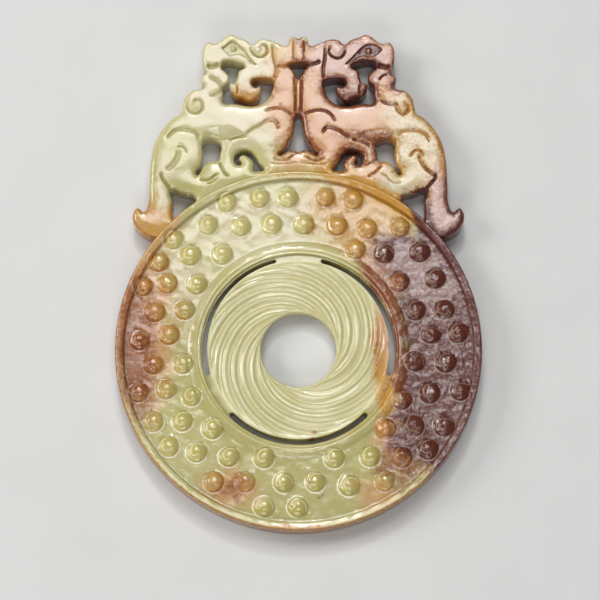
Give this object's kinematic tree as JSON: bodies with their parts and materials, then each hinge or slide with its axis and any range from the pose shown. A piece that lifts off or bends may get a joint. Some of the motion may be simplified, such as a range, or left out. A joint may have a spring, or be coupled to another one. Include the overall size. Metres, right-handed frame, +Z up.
{
  "type": "jade bi disc",
  "caption": "Carved jade disc with raised bosses, a spirally fluted ring round its hole and an openwork crest of two beasts.",
  "frame": {"origin": "on the ground under the middle of the bounding box, with the disc lying on its back", "axes": "+X across the disc, +Y from the disc towards the crest, +Z up out of the carved front"},
  "size_m": [0.075, 0.1046, 0.0062],
  "materials": {
    "jade": "polished pale green jade with russet skin along one side and on parts of the crest"
  },
  "bodies": {
    "root": {"jade_bi_disc": "jade"}
  },
  "joints": []
}
